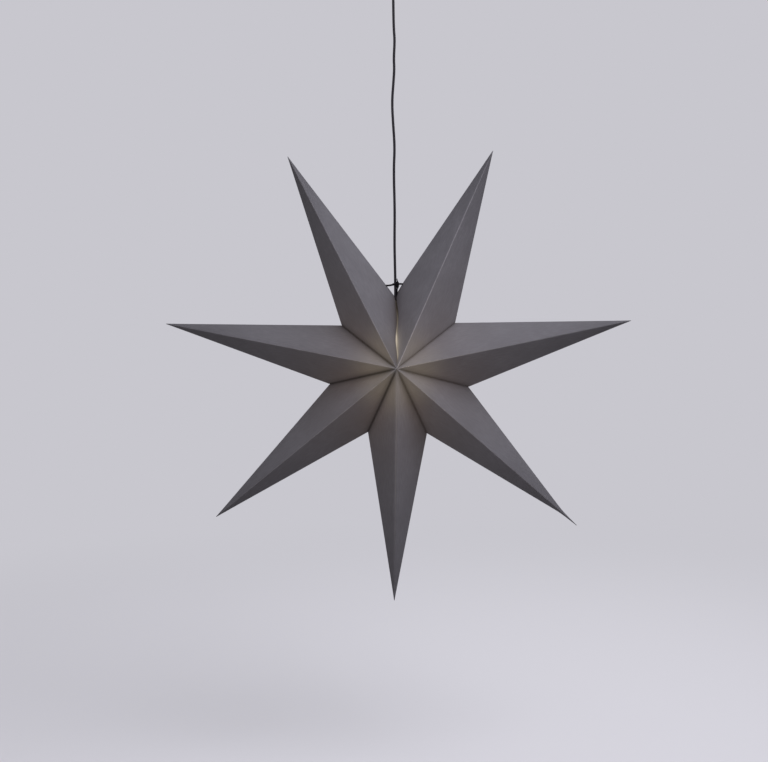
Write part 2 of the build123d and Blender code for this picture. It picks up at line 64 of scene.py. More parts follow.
CORD_ROUTE = [
    (-0.018, 0, -0.016), (-0.018, 0, -0.037), (0, 0, -0.0475), (0, 0, -0.214), (0.0026, 0, -0.243),
    (0.0001, 0.0003, -0.28), (0.0012, 0.0005, -0.3), (-0.0006, 0.0008, -0.326), (-0.0042, 0.001, -0.368),
    (-0.0022, 0.0006, -0.412), (0.001, 0, -0.462), (-0.0017, -0.0005, -0.508), (0.0001, -0.0004, -0.59),
    (-0.0011, 0, -0.655), (-0.0005, 0, -0.704), (0, 0, -0.728), (0, 0, -0.8),
]

# How the photographed star differs from the even one, as shifts along X and Z in mm
PEAK_SHIFT = (5.8, 7.4)
TIP_SHIFT = {-3: (-4.7, -7.5), 3: (-13.4, 0.0), 2: (0.6, -13.0), 1: (-35, 0.5), 0: (-6.9, 10.7),
             -1: (8.5, 1.3), -2: (5.6, -13.3)}
# by arm and side; a valley point that isn't listed isn't shifted
VALLEY_SHIFT = {(2, 1): (6.5, 2.2), (1, 1): (4.5, -4.2), (0, 1): (-1.1, 0.8), (0, -1): (5.7, 4.0),
                (-1, -1): (7.9, 3.0), (-2, -1): (5.0, -1.6)}
SEAM_CORNER = {3: (3.6, 12.0), -3: (-2.2, 2.6)}
TAIL_BEND = (25, -22.5)  # the lower right tip's thin bent tail
TAIL_LENGTH = 25
TIP_BLUNT = 0.994  # share of a panel's length at which the paper's tip ends
BACK_PEAK_IN = 2.4  # how far inside the even star's back peak the back panels end
# The seam, in mm: distances from the peak, and how far right of the line to the mouth each panel's edge is
MOUTH = VALLEY_RADIUS / MM
SEAM_R = [0, 10, 16, 22, 32, 46, 54, 62, 70, 78, 90, 104, 114, 122, 130, 138, 144, 150]
SEAM_LEFT = [0, 0.5, 1.6, 1.7, 1.0, -0.6, -1.2, -0.9, -0.4, 0.3, 2.0, 2.4, 2.0, 1.3, 0.5, -0.9, -1.8, -2.2]
SEAM_RIGHT = [0, 0.6, 2.3, 3.9, 4.0, 3.2, 2.7, 2.6, 3.0, 3.8, 5.4, 5.8, 5.0, 3.4, 2.2, 1.9, 2.2, 3.4]


# The star's geometry
def on_ring(radius, angle):
    """Point of the star's plane at an angle from straight down, to the right."""
    return STAR + Vector((radius * sin(angle), 0, -radius * cos(angle)))


def peak(face):
    return STAR + Vector((0, face * HALF_DEPTH, 0))


def tip(arm):
    return on_ring(TIP_RADIUS, 2 * HALF_PITCH * arm)


def valley(arm, side):
    return on_ring(VALLEY_RADIUS, HALF_PITCH * (2 * arm + side))


def across(vector, direction):
    """Unit vector along the part of a vector that is square to a direction."""
    return (vector - direction * vector.dot(direction)).normalized()


def half_fold(start, end, point, inward):
    """Half the angle between the two panels that meet at a crease."""
    line = (end - start).normalized()
    return acos(across(point - start, line).dot(across(inward, line)))


INWARD = peak(BACK) - peak(FRONT)
RIDGE_HALF = half_fold(peak(FRONT), tip(0), valley(0, RIGHT), INWARD)
VALLEY_HALF = half_fold(peak(FRONT), valley(0, RIGHT), tip(0), INWARD)
EDGE_HALF = half_fold(tip(0), valley(0, RIGHT), peak(FRONT), STAR - tip(0))


def valley_shift(arm, side):
    """Shift of the valley point beside an arm, in metres."""
    x, z = VALLEY_SHIFT.get((arm, side), VALLEY_SHIFT.get((arm + side, -side), (0, 0)))
    return Vector((x, 0, z)) * MM


def seam_edge(r, arm):
    """How far right of the line from peak to mouth an end panel's edge runs, in mm, at a radius in mm."""
    return float(np.interp(r, SEAM_R, SEAM_RIGHT if arm > 0 else SEAM_LEFT))


def smooth(t):
    """0 below 0, 1 above 1 and a smooth step between."""
    t = max(0.0, min(1.0, t))
    return t * t * (3 - 2 * t)


def line_offsets(width, ends, count):
    """Distances across a strip: close together at both ends, under a third of it each, even in between."""
    k = min(1.0, width / (3.2 * max(ends[0][-1], ends[1][-1])))
    first = [d * k for d in ends[0]]
    last = [width - d * k for d in ends[1]]
    a, b = first[-1], last[-1]
    middle = [a + (b - a) * (i + 1) / (count + 1) for i in range(count)]
    return first + middle + last[::-1]


# Places of the points across and along a panel, in mm from its creases
RIDGE_OFFSETS = [0, 0.7, 1.4, 2.1, 2.9, 4.5]
BROAD_OFFSETS = [0, 2, 4, 6, 8, 10, 12.5, 16]
EDGE_OFFSETS = [0, 0.5, 1.0, 1.5, 2.4, 4.0]
VALLEY_OFFSETS = [0, 0.35, 0.8, 1.3, 2.2, 4.0]
COLUMNS, SEAM_COLUMNS = 11, 26
ROWS, FIRST_ROW, ROW_GATHER = 45, 6, 0.92
# Radii of the rounded creases, in mm, and the panel width from which they are whole
BROAD_RIDGE, SHARP_RIDGE, OUTLINE_EDGE, WHOLE_FROM = 5.0, 1.5, 0.9, 22
# The paper's swelling and unevenness, in mm
BOW = 45.9
GRAIN, GRAIN_SIZE = 1.3, 60
RIPPLE, RIPPLE_SIZE = 0.35, 22
CREASE_CALM = 16  # distance from a crease at which the unevenness is whole
GROOVE_DEPTH, GROOVE_WIDTH = 0.7, 0.9  # glued valleys
SEAM_REACH = 70  # distance from the seam over which its edge's shape fades
SEAM_TURN = 0.8  # share of the way to the mouth at which the shape starts to follow the outline
CURL, CURL_START = 1.8, 0.88  # the right end panel's curled corner


# Where a point lies on its panel, in mm: distances from the creases and the peak, and place on the sheet
Spot = namedtuple("Spot", "ridge valley edge peak x y")


def unit(vector):
    return vector / np.linalg.norm(vector)


def square_to(direction, way):
    """Unit vector in a panel's plane, square to a direction, on the side that way points to."""
    perp = np.array((direction[1], -direction[0]))
    return -perp if perp @ way < 0 else perp


def crossing(a, b):
    """Point where two lines cross, each given by a point and a direction."""
    m = np.array([a[1], -b[1]]).T
    return a[0] + a[1] * np.linalg.solve(m, b[0] - a[0])[0]


def rounded(d, radius, half):
    """In-plane place and depth of a point at distance d from a convex crease of that radius."""
    reach = radius / tan(half)
    if radius <= 0 or d >= reach:
        return d, 0.0
    angle = (pi / 2 - half) * (1 - d / reach)
    return reach - radius * sin(angle), -radius * (1 - cos(angle))


class Panel:
    """One flat panel of an arm, drawn in millimetres in its own plane: x along the ridge, y to the valley."""

    def __init__(self, arm, side, face):
        self.arm, self.side, self.face = arm, side, face
        self.seam = arm * side == LAST_ARM
        self.seed = 11.3 * arm + 5.7 * side + 3.1 * face
        self.p, self.t, self.v = peak(face), tip(arm), valley(arm, side)
        self.x_dir = (self.t - self.p).normalized()
        self.y_dir = across(self.v - self.p, self.x_dir)
        n = self.x_dir.cross(self.y_dir)
        self.out = n if n.dot(self.p + self.t + self.v - STAR * 3) > 0 else -n
        self.groove = across(INWARD if face == FRONT else -INWARD, (self.v - self.p).normalized())
        self.flat = [np.array(((q - self.p).dot(self.x_dir), (q - self.p).dot(self.y_dir))) / MM
                     for q in (self.p, self.t, self.v)]
        p, t, v = self.flat
        self.valley_u, self.edge_u = unit(v - p), unit(v - t)
        self.valley_perp, self.edge_perp = square_to(self.valley_u, t - p), square_to(self.edge_u, p - t)
        self.perp_x = abs((self.x_dir * self.valley_perp[0] + self.y_dir * self.valley_perp[1]).x)
        self.seam_x = SEAM_CORNER[arm][0] if self.seam else 0.0
        self.shifts = self.corner_shifts()

    def corner_shifts(self):
        """How far the peak, the tip and the valley corner lie beside the even star's, in metres."""
        peak_shift = (PEAK_SHIFT[0], 0, PEAK_SHIFT[1]) if self.face == FRONT else (0, -BACK_PEAK_IN, 0)
        tip_x, tip_z = TIP_SHIFT[self.arm]
        corner = valley_shift(self.arm, self.side)
        if self.seam:
            corner = Vector((SEAM_CORNER[self.arm][0], 0, SEAM_CORNER[self.arm][1])) * MM
        return Vector(peak_shift) * MM, Vector((tip_x, 0, tip_z)) * MM, corner

    def name(self):
        if self.arm == 0:
            place = "right" if self.side == RIGHT else "left"
        else:
            place = "upper" if self.side * self.arm > 0 else "lower"
        return f"{ARM_NAMES[self.arm]}_arm_{FACE_NAMES[self.face]}_{place}"

    def corners(self, level):
        """The panel's corners at a level of its thickness, where its surfaces meet its neighbours'."""
        p, t, _ = self.flat
        ridge = (np.array((0, -level / tan(RIDGE_HALF))), np.array((1.0, 0)))
        glued = (p - self.valley_perp * level / tan(VALLEY_HALF), self.valley_u)
        outline = (t - self.edge_perp * level / tan(EDGE_HALF), self.edge_u)
        return crossing(ridge, glued), crossing(ridge, outline), crossing(glued, outline)

    def at_seam(self, q, s, e, along_edge):
        """A point of row e, at its share s of the row, moved so that the edge gets the seam's shape."""
        turn = smooth((s - SEAM_TURN) / (1 - SEAM_TURN))
        way = self.valley_perp * (1 - turn) + along_edge * turn
        off = seam_edge(s * MOUTH, self.arm) - self.seam_x * s
        return q + way * (off * self.arm / LAST_ARM / self.perp_x) * max(0.0, 1 - e / SEAM_REACH) ** 2

    def swelling(self, q, weights, calm):
        """How far the paper stands off its flat panel, in mm; calm is the distance to the nearest crease."""
        lam = np.clip(weights, 0, 1)
        grain = noise.noise(Vector((q[0] / GRAIN_SIZE, q[1] / GRAIN_SIZE, self.seed)))
        ripple = noise.noise(Vector((q[0] / RIPPLE_SIZE, q[1] / RIPPLE_SIZE, self.seed + 9)))
        return BOW * lam[0] * lam[1] * lam[2] + smooth(calm / CREASE_CALM) * (GRAIN * grain + RIPPLE * ripple)

    def finished(self, place, to_tip, to_corner, d_valley):
        """A point with the groove of its glued valley, the bent tail or the curled corner added."""
        if not self.seam:
            place += self.groove * (GROOVE_DEPTH * MM * max(0.0, 1 - d_valley / GROOVE_WIDTH))
        if self.arm == 1:
            tail = max(0.0, 1 - to_tip / TAIL_LENGTH) ** 2
            place += Vector((TAIL_BEND[0], 0, TAIL_BEND[1])) * MM * tail
        if self.seam and self.arm > 0:
            curl = smooth((to_corner - CURL_START) / (1 - CURL_START))
            place -= self.out * CURL * MM * curl ** 2
        return place

    def surface(self, level):
        """Rows of points of one side of the paper, from the valley to the tip, and a list of their spots."""
        p, t, v = self.corners(level)
        total = (t - p) @ self.valley_perp
        broad = self.arm == 0 and self.face == FRONT
        ridge_radius = (BROAD_RIDGE if broad else SHARP_RIDGE) + min(level, 0)
        edge_radius = OUTLINE_EDGE + min(level, 0)
        ends = (BROAD_OFFSETS if broad else RIDGE_OFFSETS, EDGE_OFFSETS)
        rows = VALLEY_OFFSETS + [FIRST_ROW + (total * TIP_BLUNT - FIRST_ROW) * (k / (ROWS - 1)) ** ROW_GATHER
                                 for k in range(ROWS)]
        along_edge = unit(t - v)
        along_edge = along_edge / (along_edge @ self.valley_perp)
        weigh = np.linalg.inv(np.array([[q[0] for q in self.flat], [q[1] for q in self.flat], [1, 1, 1]]))
        points, spots = [], []
        for e in rows:
            a = p + (t - p) * e / total
            b = v + (t - v) * e / total
            width = np.linalg.norm(b - a)
            scale = min(1.0, width / WHOLE_FROM)
            line = []
            for along in line_offsets(width, ends, SEAM_COLUMNS if self.seam else COLUMNS):
                q = a + (b - a) / width * along
                if self.seam:
                    q = self.at_seam(q, along / width, e, along_edge)
                d_ridge, d_edge, d_valley = q[1] - p[1], (q - t) @ self.edge_perp, (q - p) @ self.valley_perp
                y, drop = rounded(d_ridge, ridge_radius * scale, RIDGE_HALF)
                q = np.array((q[0], p[1] + y))
                inset, edge_drop = rounded(d_edge, edge_radius * scale, EDGE_HALF)
                q = q + self.edge_perp * (inset - d_edge)
                weights = weigh @ np.array((q[0], q[1], 1))
                swell = self.swelling(q, weights, min(d_ridge, d_edge, d_valley))
                height = level + drop + edge_drop + swell
                shift = sum((self.shifts[k] * weights[k] for k in range(3)), Vector())
                place = (self.p + (self.x_dir * q[0] + self.y_dir * q[1] + self.out * height) * MM) + shift
                line.append(self.finished(place, t[0] - q[0], weights[2], d_valley))
                spots.append(Spot(max(0.0, d_ridge), max(0.0, d_valley), max(0.0, d_edge),
                                  np.hypot(q[0], q[1]), q[0], q[1]))
            points.append(line)
        return points, spots


# The lamp's light on the paper: colours, and distances in mm from the peak or from a glued valley
LAMP_REACH = 0.119  # metres from the star's centre at which its strength is 1
NEAR_MOST = 1.25  # its strength nearer by
INSIDE_LIGHT = (0.36, 0.28, 0.17)
BROAD_LIGHT = (0.031, 0.0205, 0.0135)  # through the paper everywhere
NEAR_LIGHT, NEAR_FROM, NEAR_OVER = (0.044, 0.0375, 0.021), 45, 80  # round the peak
GLUE_STOPS, GLUE_WIDTH = 0.75, 6  # share that the flap of a glued valley stops, and its width
SEAM_SHARE = {LAST_ARM: 0.4, -LAST_ARM: 0.45}  # what the end panels let through
SLOT_LIGHT, SLOT_START, SLOT_FALL = (0.17, 0.145, 0.11), 2.4, 5.2  # beside the seam's slot
SLOT_MIDDLE, SLOT_HALF = 57, 33
# The paper's wear with painted highlight, and its painted shade, by arm, or by arm and side for a valley,
# matched to the photograph. The tone by arm is painted light, which probably stands in for light that falls
# off to the left there.
RIDGE_WEAR_AND_HIGHLIGHT = {3: 0.8, -3: 0.5, 0: 0.12, 1: 0.42, 2: 0.3, -1: 0.3, -2: 0.35}
PAINTED_ARM_LIGHT = {3: 1.07, -3: 1.0, 0: 1.0, 1: 0.98, 2: 1.02, -1: 0.94, -2: 0.9}
VALLEY_DARK = {(2, 1): 0.55, (1, 1): 0.65, (0, 1): 0.7, (0, -1): 1.0, (-1, -1): 1.0, (-2, -1): 0.85,
               (3, 1): 0.3}
OTHER_DARK = 0.3
BACK_WEAR_AND_HIGHLIGHT, BACK_DARK = 0.3, 0.6
FAR = 60.0  # distances are kept up to this one
DARK_OVER = 24  # distance from the peak over which the valleys darken
TIP_SHADE_FROM, TIP_SHADE_OVER = 240, 260  # distances from the peak between which the painted shade towards the tips grows


def darkness(panel):
    """How dark the glued valley beside a panel is: its dark glued line and the painted shade beside it."""
    if panel.face == BACK:
        return BACK_DARK
    arm, side = panel.arm, panel.side
    return VALLEY_DARK.get((arm, side), VALLEY_DARK.get((arm + side, -side), OTHER_DARK))


def lamp_light(panel, place, spot, inner):
    """The lamp's light that a point of the paper gives off, inside or through to the outside."""
    near = min(NEAR_MOST, (LAMP_REACH / (place - STAR).length) ** 2)
    if inner:
        return [c * near for c in INSIDE_LIGHT]
    through = 1 - smooth((spot.peak - NEAR_FROM) / NEAR_OVER)
    share = 1 - GLUE_STOPS * darkness(panel) * exp(-(spot.valley / GLUE_WIDTH) ** 2)
    slot = 0.0
    if panel.seam and panel.face == FRONT:
        share *= SEAM_SHARE[panel.arm]
        if panel.arm > 0:
            beside = exp(-max(0.0, spot.valley - SLOT_START) / SLOT_FALL)
            slot = beside * exp(-((spot.peak - SLOT_MIDDLE) / SLOT_HALF) ** 2)
    return [share * (near * a + through * b) + slot * c
            for a, b, c in zip(BROAD_LIGHT, NEAR_LIGHT, SLOT_LIGHT)]


def ridge_wear_and_highlight(wear_and_highlight, d_peak):
    """Worn line with painted highlight along a ridge: half as much at the tip, and much at the peak itself.
    """
    return max(wear_and_highlight * (1 - 0.5 * smooth((d_peak - 380) / 110)), 0.8 * smooth(1 - d_peak / 9))


def seam_shade(panel, spot):
    """Shade where an end panel turns in at the seam; the left one is dark near the peak too."""
    if panel.face == BACK or not panel.seam:
        return 0.0
    shade = exp(-spot.valley / 15) * smooth((spot.peak - 25) / 50)
    if panel.arm < 0:
        shade = max(shade, 0.7 * (1 - smooth((spot.peak - 25) / 90)))
    return shade


def paper_layers(panel, spots):
    """What the paper's material reads at each point: distances in mm, wear with painted highlight, painted
    shades and each arm's painted light.
    """
    wear_and_highlight = RIDGE_WEAR_AND_HIGHLIGHT[panel.arm] if panel.face == FRONT else BACK_WEAR_AND_HIGHLIGHT
    dark = darkness(panel)
    return {
        "ridge_mm": [min(s.ridge, FAR) for s in spots],
        "valley_mm": [min(s.valley, FAR) for s in spots],
        "edge_mm": [min(s.edge, FAR) for s in spots],
        "wear_and_highlight": [ridge_wear_and_highlight(wear_and_highlight, s.peak) for s in spots],
        "valley_dark": [dark * smooth(s.peak / DARK_OVER) for s in spots],
        "tip_shade": [smooth((s.peak - TIP_SHADE_FROM) / TIP_SHADE_OVER) for s in spots],
        "seam_shade": [seam_shade(panel, s) for s in spots],
        "arm_light_share": [PAINTED_ARM_LIGHT[panel.arm]] * len(spots),
    }


def sheet_faces(rows, cols):
    """Faces of a sheet with two grids of points: (face, kind), kind 0 outside, 1 inside, 2 the cut edge."""
    base = rows * cols
    faces = []
    for j in range(rows - 1):
        for i in range(cols - 1):
            k = j * cols + i
            faces.append(((k, k + 1, k + cols + 1, k + cols), 0))
            faces.append(((base + k, base + k + cols, base + k + cols + 1, base + k + 1), 1))
    loop = ([(0, i) for i in range(cols)] + [(j, cols - 1) for j in range(1, rows)]
            + [(rows - 1, i) for i in range(cols - 2, -1, -1)] + [(j, 0) for j in range(rows - 2, 0, -1)])
    ring = [j * cols + i for j, i in loop]
    for a, b in zip(ring, ring[1:] + ring[:1]):
        faces.append(((b, a, base + a, base + b), 2))
    return faces


def add_object(name, data):
    thing = bpy.data.objects.new(name, data)
    bpy.context.scene.collection.objects.link(thing)
    return thing


def panel_piece(panel, materials):
    """A panel's paper with its outside, inside and cut edge."""
    outer, spots = panel.surface(HALF_PAPER)
    inner, inner_spots = panel.surface(-HALF_PAPER)
    spots = spots + inner_spots
    rows, cols = len(outer), len(outer[0])
    verts = [v for line in outer + inner for v in line]
    faces = sheet_faces(rows, cols)
    kinds = [kind for _, kind in faces]
    mesh = bpy.data.meshes.new(panel.name() + "_paper")
    mesh.from_pydata([v[:] for v in verts], [], [face for face, _ in faces])
    mesh.validate()
    middle_face = 2 * (rows // 2 * (cols - 1) + cols // 2)  # one of the outside's
    if mesh.polygons[middle_face].normal.dot(panel.out) < 0:
        mesh.flip_normals()
    mesh.polygons.foreach_set("material_index", kinds)
    mesh.polygons.foreach_set("use_smooth", [k != 2 for k in kinds])
    for m in materials:
        mesh.materials.append(m)
    for label, values in paper_layers(panel, spots).items():
        mesh.attributes.new(label, "FLOAT", "POINT").data.foreach_set("value", values)
    on_sheet = [c for spot in spots for c in (spot.x * MM, spot.y * MM * panel.side, panel.seed)]
    light = [c for k, v in enumerate(verts) for c in lamp_light(panel, v, spots[k], k >= rows * cols)]
    for label, values in (("on_sheet", on_sheet), ("lamp_light", light)):
        mesh.attributes.new(label, "FLOAT_VECTOR", "POINT").data.foreach_set("vector", values)
    piece = add_object(panel.name() + "_paper", mesh)
    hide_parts(panel.name())
    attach(piece, panel.name())
    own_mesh(piece)


# Materials
def new_material(name):
    m = bpy.data.materials.new(name)
    m.use_nodes = True
    return m, m.node_tree, m.node_tree.nodes["Principled BSDF"]


def node(tree, kind, **values):
    """A new node with its inputs or settings set."""
    n = tree.nodes.new(kind)
    for key, value in values.items():
        if key in n.inputs:
            n.inputs[key].default_value = value
        else:
            setattr(n, key, value)
    return n


def math_node(tree, operation, a, b, clamp=False):
    n = tree.nodes.new("ShaderNodeMath")
    n.operation = operation
    n.use_clamp = clamp
    for slot, value in zip(n.inputs, (a, b)):
        if isinstance(value, (int, float)):
            slot.default_value = value
        else:
            tree.links.new(value, slot)
    return n.outputs[0]


def mix_colour(tree, factor, a, b):
    """Colour between a at factor 0 and b at factor 1."""
    n = tree.nodes.new("ShaderNodeMix")
    n.data_type = "RGBA"
    tree.links.new(factor, n.inputs[0])
    sockets = [s for s in n.inputs if s.type == "RGBA"]
    for slot, value in zip(sockets, (a, b)):
        if isinstance(value, tuple):
            slot.default_value = (*value, 1)
        else:
            tree.links.new(value, slot)
    return [s for s in n.outputs if s.type == "RGBA"][0]


def linear(r, g, b):
    """Scene-linear colour of an sRGB colour out of 255."""
    def one(c):
        c = c / 255
        return c / 12.92 if c <= 0.04045 else ((c + 0.055) / 1.055) ** 2.4
    return one(r), one(g), one(b)


def ramp(tree, value, low, high):
    """Smooth 0 to 1 from low to high."""
    n = tree.nodes.new("ShaderNodeMapRange")
    n.interpolation_type = "SMOOTHSTEP"
    n.inputs["From Min"].default_value = low
    n.inputs["From Max"].default_value = high
    tree.links.new(value, n.inputs["Value"])
    return n.outputs[0]


def stretched_noise(tree, coords, turn, scale, size, detail=3.0):
    """Noise in turned and stretched coordinates; size is in waves per metre."""
    mapping = node(tree, "ShaderNodeMapping")
    mapping.inputs["Rotation"].default_value = turn
    mapping.inputs["Scale"].default_value = scale
    tree.links.new(coords, mapping.inputs["Vector"])
    n = node(tree, "ShaderNodeTexNoise", Scale=size, Detail=detail)
    tree.links.new(mapping.outputs[0], n.inputs["Vector"])
    return n.outputs[0]


def even_noise(tree, coords, size, detail=3.0):
    """Noise that is alike in every direction."""
    return stretched_noise(tree, coords, (0, 0, 0), (1, 1, 1), size, detail)


def times(tree, a, b):
    return math_node(tree, "MULTIPLY", a, b)


def fading(tree, value, low, high):
    """Smooth 1 to 0 from low to high."""
    return math_node(tree, "SUBTRACT", 1.0, ramp(tree, value, low, high))


def attribute(tree, name, output="Fac"):
    """What a piece's mesh holds under a name."""
    return node(tree, "ShaderNodeAttribute", attribute_name=name).outputs[output]


def object_coords(tree):
    return node(tree, "ShaderNodeTexCoord").outputs["Object"]


def add_bump(tree, shader, height, strength, distance):
    bump = node(tree, "ShaderNodeBump", Strength=strength, Distance=distance)
    tree.links.new(height, bump.inputs["Height"])
    tree.links.new(bump.outputs[0], shader.inputs["Normal"])


def add_glow(tree, shader, colour):
    tree.links.new(colour, shader.inputs["Emission Color"])
    shader.inputs["Emission Strength"].default_value = 1.0


def share_of(colour, share):
    return tuple(c * share for c in colour)


PAPER_COLOUR = linear(103, 101.5, 107.5)
PALE_FIBRE, DARK_FIBRE = share_of(PAPER_COLOUR, 1.09), share_of(PAPER_COLOUR, 0.91)
BLOTCH_COLOUR, BLOTCH_STRENGTH = share_of(PAPER_COLOUR, 0.84), 0.42
FIBRES = ((0.45, 0.17, 420), (-0.75, 0.15, 360), (1.3, 0.2, 260))  # turn, stretch and size of each layer
# the pale ridge line is wear and painted highlight; the pale outline edge is wear
WORN_RIDGE_HIGHLIGHT, WORN_EDGE, EDGE_STRENGTH = linear(141, 138, 145), linear(128, 126, 132), 0.22
# dark valleys: the glued joint's dark line, with painted shade in and beside the crease; from and to in mm,
# strength, colour
VALLEY_LINE_AND_SHADE = ((0.0, 18.0, 0.34, linear(62, 56, 54)), (0.2, 5.6, 0.68, linear(40, 35, 33)))
# painted shade, darker towards the tips and where the end panels turn in at the seam
SHADES = (("tip_shade", 0.26, linear(46, 45, 50)), ("seam_shade", 0.5, linear(46, 43, 50)))


def fibre_noise(tree):
    """Fibres that lie three ways over the sheet."""
    sheet = attribute(tree, "on_sheet", "Vector")
    a, b, c = [stretched_noise(tree, sheet, (0, 0, turn), (stretch, 1, 1), size)
               for turn, stretch, size in FIBRES]
    return math_node(tree, "DIVIDE", math_node(tree, "ADD", math_node(tree, "ADD", a, b), c), 3.0)


def sheet_colour_and_arm_light(tree, coords, fibres):
    """Fibres, faint blotches, and each arm's painted light, dimmer on the left arms."""
    colour = mix_colour(tree, ramp(tree, fibres, 0.36, 0.64), DARK_FIBRE, PALE_FIBRE)
    blotch = ramp(tree, even_noise(tree, coords, 18, 6), 0.36, 0.64)
    colour = mix_colour(tree, times(tree, blotch, BLOTCH_STRENGTH), colour, BLOTCH_COLOUR)
    arm_lit = node(tree, "ShaderNodeVectorMath", operation="SCALE")
    tree.links.new(colour, arm_lit.inputs[0])
    tree.links.new(attribute(tree, "arm_light_share"), arm_lit.inputs["Scale"])
    return arm_lit.outputs[0]


def worn_and_highlit_creases(tree, coords, colour):
    """Pale worn lines with painted highlight, patchy along the ridges, and faint pale worn lines along the
    outline's edges.
    """
    worn = ramp(tree, even_noise(tree, coords, 90), 0.36, 0.56)
    patchy = math_node(tree, "ADD", 0.55, times(tree, worn, 0.45))
    ridge = times(tree, fading(tree, attribute(tree, "ridge_mm"), 0.5, 1.7), attribute(tree, "wear_and_highlight"))
    colour = mix_colour(tree, math_node(tree, "MULTIPLY", ridge, patchy, clamp=True), colour, WORN_RIDGE_HIGHLIGHT)
    edge = fading(tree, attribute(tree, "edge_mm"), 0.3, 1.3)
    return mix_colour(tree, times(tree, edge, EDGE_STRENGTH), colour, WORN_EDGE)


def shaded(tree, colour):
    """The valleys' dark glued lines with painted shade beside them, and the painted shades towards the tips
    and at the seam.
    """
    valley_mm, valley_dark = attribute(tree, "valley_mm"), attribute(tree, "valley_dark")
    for low, high, strength, tint in VALLEY_LINE_AND_SHADE:
        share = times(tree, times(tree, fading(tree, valley_mm, low, high), strength), valley_dark)
        colour = mix_colour(tree, share, colour, tint)
    for name, strength, tint in SHADES:
        colour = mix_colour(tree, times(tree, attribute(tree, name), strength), colour, tint)
    return colour


def paper_material():
    m, tree, shader = new_material("star_paper_outside")
    coords = object_coords(tree)
    fibres = fibre_noise(tree)
    colour = shaded(tree, worn_and_highlit_creases(tree, coords, sheet_colour_and_arm_light(tree, coords, fibres)))
    tree.links.new(colour, shader.inputs["Base Color"])
    shader.inputs["Roughness"].default_value = 0.82
    shader.inputs["Specular IOR Level"].default_value = 0.28
    grain = times(tree, even_noise(tree, coords, 900, 2), 0.35)
    add_bump(tree, shader, math_node(tree, "ADD", fibres, grain), 0.35, 0.0004)
    add_glow(tree, shader, attribute(tree, "lamp_light", "Vector"))
    return m


def plain_paper(name, dark, light, turn=(0, 0.7, 0), stretch=(1, 1, 0.08), size=500):
    """Paper with fibres in its colour alone."""
    m, tree, shader = new_material(name)
    fibre = stretched_noise(tree, object_coords(tree), turn, stretch, size)
    tree.links.new(mix_colour(tree, fibre, dark, light), shader.inputs["Base Color"])
    shader.inputs["Roughness"].default_value = 0.9
    return m, tree, shader


def inner_paper_material():
    """The paper's inside, lit by the bulb."""
    m, tree, shader = plain_paper("star_paper_inside", linear(108, 104, 104), linear(132, 128, 128))
    add_glow(tree, shader, attribute(tree, "lamp_light", "Vector"))
    return m


def edge_paper_material():
    dark, light = linear(95, 92, 96), linear(128, 125, 128)
    m, _, _ = plain_paper("star_paper_cut", dark, light, turn=(0, 0, 0), stretch=(1, 1, 1), size=800)
    return m


def moulded(name, colour, roughness, speck=0.06, bump=0.15, size=900, specular=0.5):
    """Moulded plastic or rubber: a faint grain in its colour, gloss and surface."""
    m, tree, shader = new_material(name)
    coords = object_coords(tree)
    grain = even_noise(tree, coords, size)
    cloud = even_noise(tree, coords, 60)
    light = tuple(min(1, c * (1 + speck) + 0.002) for c in colour)
    tree.links.new(mix_colour(tree, cloud, share_of(colour, 1 - speck), light), shader.inputs["Base Color"])
    rough = math_node(tree, "ADD", roughness - 0.05, times(tree, cloud, 0.1))
    tree.links.new(rough, shader.inputs["Roughness"])
    shader.inputs["Specular IOR Level"].default_value = specular
    add_bump(tree, shader, grain, bump, 0.0001)
    return m


def brushed(name, colour, roughness):
    """Metal with faint streaks in its gloss and surface."""
    m, tree, shader = new_material(name)
    coords = object_coords(tree)
    streak = stretched_noise(tree, coords, (0, 0, 0), (1, 1, 12), 300)
    cloud = even_noise(tree, coords, 120)
    tree.links.new(mix_colour(tree, cloud, share_of(colour, 0.86), colour), shader.inputs["Base Color"])
    shader.inputs["Metallic"].default_value = 1.0
    rough = math_node(tree, "ADD", roughness - 0.06, times(tree, streak, 0.14))
    tree.links.new(rough, shader.inputs["Roughness"])
    add_bump(tree, shader, streak, 0.1, 0.0001)
    return m


def opal_material():
    """The lit bulb's opal glass."""
    m = moulded("bulb_opal", linear(246, 240, 226), 0.3, speck=0.02, bump=0.02)
    shader = m.node_tree.nodes["Principled BSDF"]
    shader.inputs["Emission Color"].default_value = (1.0, 0.78, 0.5, 1)
    shader.inputs["Emission Strength"].default_value = 0.9
    return m


outside, inside, cut = paper_material(), inner_paper_material(), edge_paper_material()
black_plastic = moulded("black_plastic", linear(28, 28, 29), 0.5)
cup_plastic = moulded("cup_plastic", linear(30, 30, 31), 0.38, bump=0.08)
holder_plastic = moulded("holder_plastic", linear(26, 26, 27), 0.25, bump=0.05)
rubber = moulded("flex_sheath", linear(17, 11, 22), 0.6, bump=0.02, specular=0.3)
cotton = moulded("tie_cotton", linear(14, 11, 17), 0.9, speck=0.25, bump=0.6, size=1500, specular=0.15)
nylon = moulded("terminal_nylon", linear(225, 224, 218), 0.45)
ceramic = moulded("core_ceramic", linear(232, 228, 218), 0.22)
zinc = brushed("zinc_steel", linear(188, 190, 192), 0.32)
steel = brushed("screw_steel", linear(178, 180, 182), 0.3)
brass = brushed("screw_brass", linear(205, 168, 98), 0.28)
nickel = brushed("bulb_cap_metal", linear(200, 201, 203), 0.25)
white_body = moulded("bulb_white", linear(232, 232, 230), 0.35)
black_glass = moulded("bulb_black_glass", linear(20, 20, 21), 0.12)
opal = opal_material()

